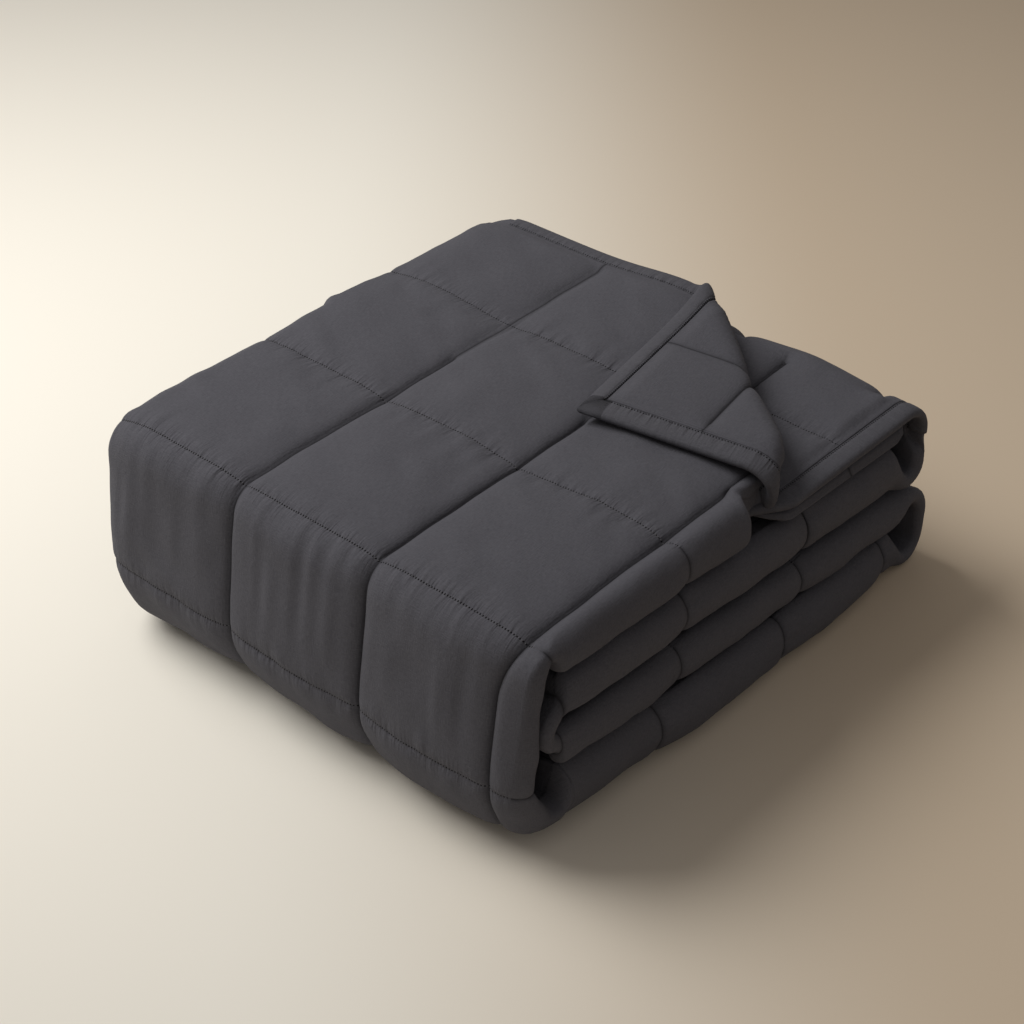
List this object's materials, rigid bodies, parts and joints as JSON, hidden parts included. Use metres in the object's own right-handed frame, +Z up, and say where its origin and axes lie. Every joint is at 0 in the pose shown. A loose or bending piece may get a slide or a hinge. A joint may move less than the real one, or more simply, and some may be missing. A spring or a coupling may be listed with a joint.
{
  "type": "weighted blanket",
  "caption": "Quilted weighted blanket folded to a flat stack, with a bound corner of its top turned back.",
  "frame": {"origin": "middle of the underside of the stack's bounding box, on the surface the blanket rests on", "axes": "+Z up through the layers, -Y towards the folded front that shows one wide wrap, +Y towards the back with the open end of the top layer, +X towards the side where the layers show"},
  "size_m": [0.3716, 0.4146, 0.1698],
  "materials": {
    "quilt_cloth": "matt brushed woven cloth, dark grey",
    "binding_cloth": "matt folded tape of the same dark grey cloth"
  },
  "bodies": {
    "root": {"quilt": "quilt_cloth", "binding_end": "binding_cloth", "binding_side": "binding_cloth", "binding_under": "binding_cloth"}
  },
  "joints": []
}
